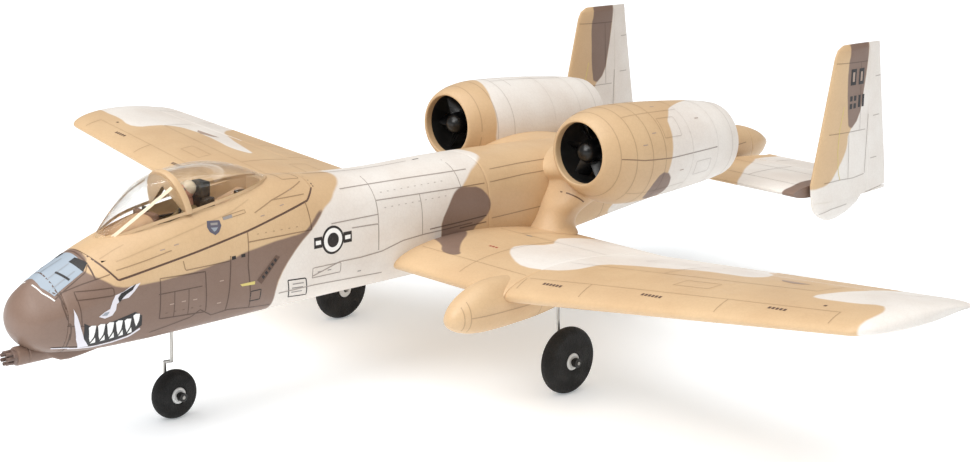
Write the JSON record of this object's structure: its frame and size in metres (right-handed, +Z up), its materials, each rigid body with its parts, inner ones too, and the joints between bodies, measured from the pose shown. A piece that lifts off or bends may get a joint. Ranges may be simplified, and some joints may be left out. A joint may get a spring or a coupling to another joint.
{
  "type": "radio-controlled ducted-fan model jet",
  "caption": "Foam radio-controlled straight-wing jet with twin fan nacelles, twin fins, clear canopy, steerable nose wheel and hinged control surfaces.",
  "frame": {"origin": "on the ground under the middle of the model, midway along its length and on the centreline", "axes": "+X towards the left wing tip, +Y towards the tail, +Z up, standing on its three wheels"},
  "size_m": [0.562, 0.521, 0.1534],
  "materials": {
    "brown_foam": "satin",
    "sand_foam": "satin",
    "white_foam": "satin",
    "carbon_rod": "gloss",
    "black_plastic": "gloss",
    "motor_metal": "satin",
    "spring_steel": "satin",
    "white_plastic": "satin",
    "battery_wrap": "gloss",
    "circuit_board": "satin",
    "magnet": "gloss",
    "ballast_metal": "matte",
    "clear_canopy": "gloss",
    "cockpit_paint": "matte",
    "seat_black": "matte",
    "pilot_paint": "matte",
    "wheel_foam": "matte",
    "hub_plastic": "satin"
  },
  "bodies": {
    "airframe": {"nose_cone": "brown_foam", "gun_barrels": "brown_foam", "front_fuselage": "brown_foam", "rear_fuselage": "sand_foam", "tail_cone": "sand_foam", "wing_centre": "sand_foam", "wing_left": "sand_foam", "wing_right": "sand_foam", "wing_spar": "carbon_rod", "gear_pod_left": "sand_foam", "gear_pod_right": "sand_foam", "nacelle_saddle": "sand_foam", "nacelle_left": "sand_foam", "nacelle_right": "sand_foam", "fan_housing_left": "black_plastic", "fan_housing_right": "black_plastic", "motor_left": "motor_metal", "motor_right": "motor_metal", "tailplane": "sand_foam", "fin_left": "sand_foam", "fin_right": "sand_foam", "main_leg_left": "spring_steel", "main_leg_right": "spring_steel", "wheel_collars": "spring_steel", "servos": "black_plastic", "battery": "battery_wrap", "control_board": "circuit_board", "nose_leg_bearing": "white_plastic", "hatch_magnets": "magnet", "nose_ballast": "ballast_metal"},
    "hatch_group": {"hatch": "sand_foam", "canopy": "clear_canopy", "canopy_frame": "sand_foam", "cockpit_tub": "cockpit_paint", "seat": "seat_black", "pilot": "pilot_paint"},
    "fan_left": {"fan_rotor_left": "black_plastic"},
    "fan_right": {"fan_rotor_right": "black_plastic"},
    "aileron_left_body": {"aileron_left": "white_foam", "aileron_horn_left": "black_plastic"},
    "aileron_right_body": {"aileron_right": "white_foam", "aileron_horn_right": "black_plastic"},
    "aileron_arm_left_body": {"aileron_arm_left": "white_plastic"},
    "aileron_arm_right_body": {"aileron_arm_right": "white_plastic"},
    "aileron_rod_left_body": {"aileron_rod_left": "spring_steel"},
    "aileron_rod_right_body": {"aileron_rod_right": "spring_steel"},
    "elevator_body": {"elevator": "white_foam", "elevator_horn": "black_plastic"},
    "elevator_arm_body": {"elevator_arm": "white_plastic"},
    "elevator_rod_body": {"elevator_rod": "spring_steel"},
    "rudder_left_body": {"rudder_left": "white_foam"},
    "rudder_right_body": {"rudder_right": "white_foam"},
    "nose_leg_body": {"nose_leg": "spring_steel"},
    "nose_wheel_body": {"nose_wheel": "wheel_foam"},
    "steering_arm_body": {"steering_arm": "white_plastic"},
    "steering_rod_body": {"steering_rod": "spring_steel"},
    "main_wheel_left": {"main_tyre_left": "wheel_foam", "main_hub_left": "hub_plastic"},
    "main_wheel_right": {"main_tyre_right": "wheel_foam", "main_hub_right": "hub_plastic"}
  },
  "joints": [
    {"name": "hatch_lift", "type": "slide", "parent": "airframe", "child": "hatch_group", "axis": [0, 0, 1], "range_m": [0, 0.06]},
    {"name": "fan_left_spin", "type": "hinge", "parent": "airframe", "child": "fan_left", "pos_m": [0.047, 0.0485, 0.107], "axis": [0, 1, 0], "continuous": true},
    {"name": "fan_right_spin", "type": "hinge", "parent": "airframe", "child": "fan_right", "pos_m": [-0.047, 0.0485, 0.107], "axis": [0, 1, 0], "continuous": true},
    {"name": "aileron_left_hinge", "type": "hinge", "parent": "airframe", "child": "aileron_left_body", "pos_m": [0.156, 0.02054, 0.07076], "axis": [0.9893, -0.0868, 0.1176], "range_deg": [-20, 20]},
    {"name": "aileron_right_hinge", "type": "hinge", "parent": "airframe", "child": "aileron_right_body", "pos_m": [-0.156, 0.02054, 0.07076], "axis": [0.9893, 0.0868, -0.1176], "range_deg": [-20, 20]},
    {"name": "aileron_arm_left_turn", "type": "hinge", "parent": "airframe", "child": "aileron_arm_left_body", "pos_m": [0.16437, -0.02035, 0.07217], "axis": [0.9893, -0.0868, 0.1176], "range_deg": [-20, 20]},
    {"name": "aileron_rod_left_pin", "type": "hinge", "parent": "aileron_arm_left_body", "child": "aileron_rod_left_body", "pos_m": [0.16531, -0.02043, 0.06423], "axis": [0.9893, -0.0868, 0.1176], "range_deg": [-20, 20]},
    {"name": "aileron_arm_right_turn", "type": "hinge", "parent": "airframe", "child": "aileron_arm_right_body", "pos_m": [-0.16437, -0.02035, 0.07217], "axis": [0.9893, 0.0868, -0.1176], "range_deg": [-20, 20]},
    {"name": "aileron_rod_right_pin", "type": "hinge", "parent": "aileron_arm_right_body", "child": "aileron_rod_right_body", "pos_m": [-0.16531, -0.02043, 0.06423], "axis": [0.9893, 0.0868, -0.1176], "range_deg": [-20, 20]},
    {"name": "elevator_hinge", "type": "hinge", "parent": "airframe", "child": "elevator_body", "pos_m": [0, 0.2235, 0.075], "axis": [1, 0, 0], "range_deg": [-20, 20]},
    {"name": "elevator_arm_turn", "type": "hinge", "parent": "airframe", "child": "elevator_arm_body", "pos_m": [-0.02, 0.1355, 0.07], "axis": [1, 0, 0], "range_deg": [-20, 20]},
    {"name": "elevator_rod_pin", "type": "hinge", "parent": "elevator_arm_body", "child": "elevator_rod_body", "pos_m": [-0.02, 0.1355, 0.062], "axis": [1, 0, 0], "range_deg": [-20, 20]},
    {"name": "nose_steer", "type": "hinge", "parent": "airframe", "child": "nose_leg_body", "pos_m": [-0.0124, -0.1665, 0.068], "axis": [0, 0, 1], "range_deg": [-25, 25]},
    {"name": "steering_arm_turn", "type": "hinge", "parent": "airframe", "child": "steering_arm_body", "pos_m": [-0.0124, -0.1345, 0.068], "axis": [0, 0, 1], "range_deg": [-25, 25]},
    {"name": "steering_rod_pin", "type": "hinge", "parent": "steering_arm_body", "child": "steering_rod_body", "pos_m": [-0.0044, -0.1345, 0.068], "axis": [0, 0, 1], "range_deg": [-25, 25]},
    {"name": "rudder_left_hinge", "type": "hinge", "parent": "airframe", "child": "rudder_left_body", "pos_m": [0.092, 0.2311, 0.0694], "axis": [0, -0.0706, 0.9975], "range_deg": [-20, 20]},
    {"name": "rudder_right_hinge", "type": "hinge", "parent": "airframe", "child": "rudder_right_body", "pos_m": [-0.092, 0.2311, 0.0694], "axis": [0, -0.0706, 0.9975], "range_deg": [-20, 20]},
    {"name": "nose_wheel_spin", "type": "hinge", "parent": "nose_leg_body", "child": "nose_wheel_body", "pos_m": [-0.0108, -0.1665, 0.0115], "axis": [1, 0, 0], "continuous": true},
    {"name": "main_wheel_left_spin", "type": "hinge", "parent": "airframe", "child": "main_wheel_left", "pos_m": [0.0825, -0.0025, 0.0165], "axis": [1, 0, 0], "continuous": true},
    {"name": "main_wheel_right_spin", "type": "hinge", "parent": "airframe", "child": "main_wheel_right", "pos_m": [-0.0825, -0.0025, 0.0165], "axis": [1, 0, 0], "continuous": true}
  ],
  "couplings": [
    {"joint": "aileron_right_hinge", "follows": "aileron_left_hinge", "ratio": -1},
    {"joint": "aileron_arm_left_turn", "follows": "aileron_left_hinge", "ratio": 1},
    {"joint": "aileron_arm_right_turn", "follows": "aileron_left_hinge", "ratio": -1},
    {"joint": "aileron_rod_left_pin", "follows": "aileron_left_hinge", "ratio": -1},
    {"joint": "aileron_rod_right_pin", "follows": "aileron_left_hinge", "ratio": 1},
    {"joint": "elevator_arm_turn", "follows": "elevator_hinge", "ratio": 1},
    {"joint": "elevator_rod_pin", "follows": "elevator_hinge", "ratio": -1},
    {"joint": "steering_arm_turn", "follows": "nose_steer", "ratio": 1},
    {"joint": "steering_rod_pin", "follows": "nose_steer", "ratio": -1},
    {"joint": "rudder_left_hinge", "follows": "nose_steer", "ratio": -0.8},
    {"joint": "rudder_right_hinge", "follows": "nose_steer", "ratio": -0.8}
  ]
}
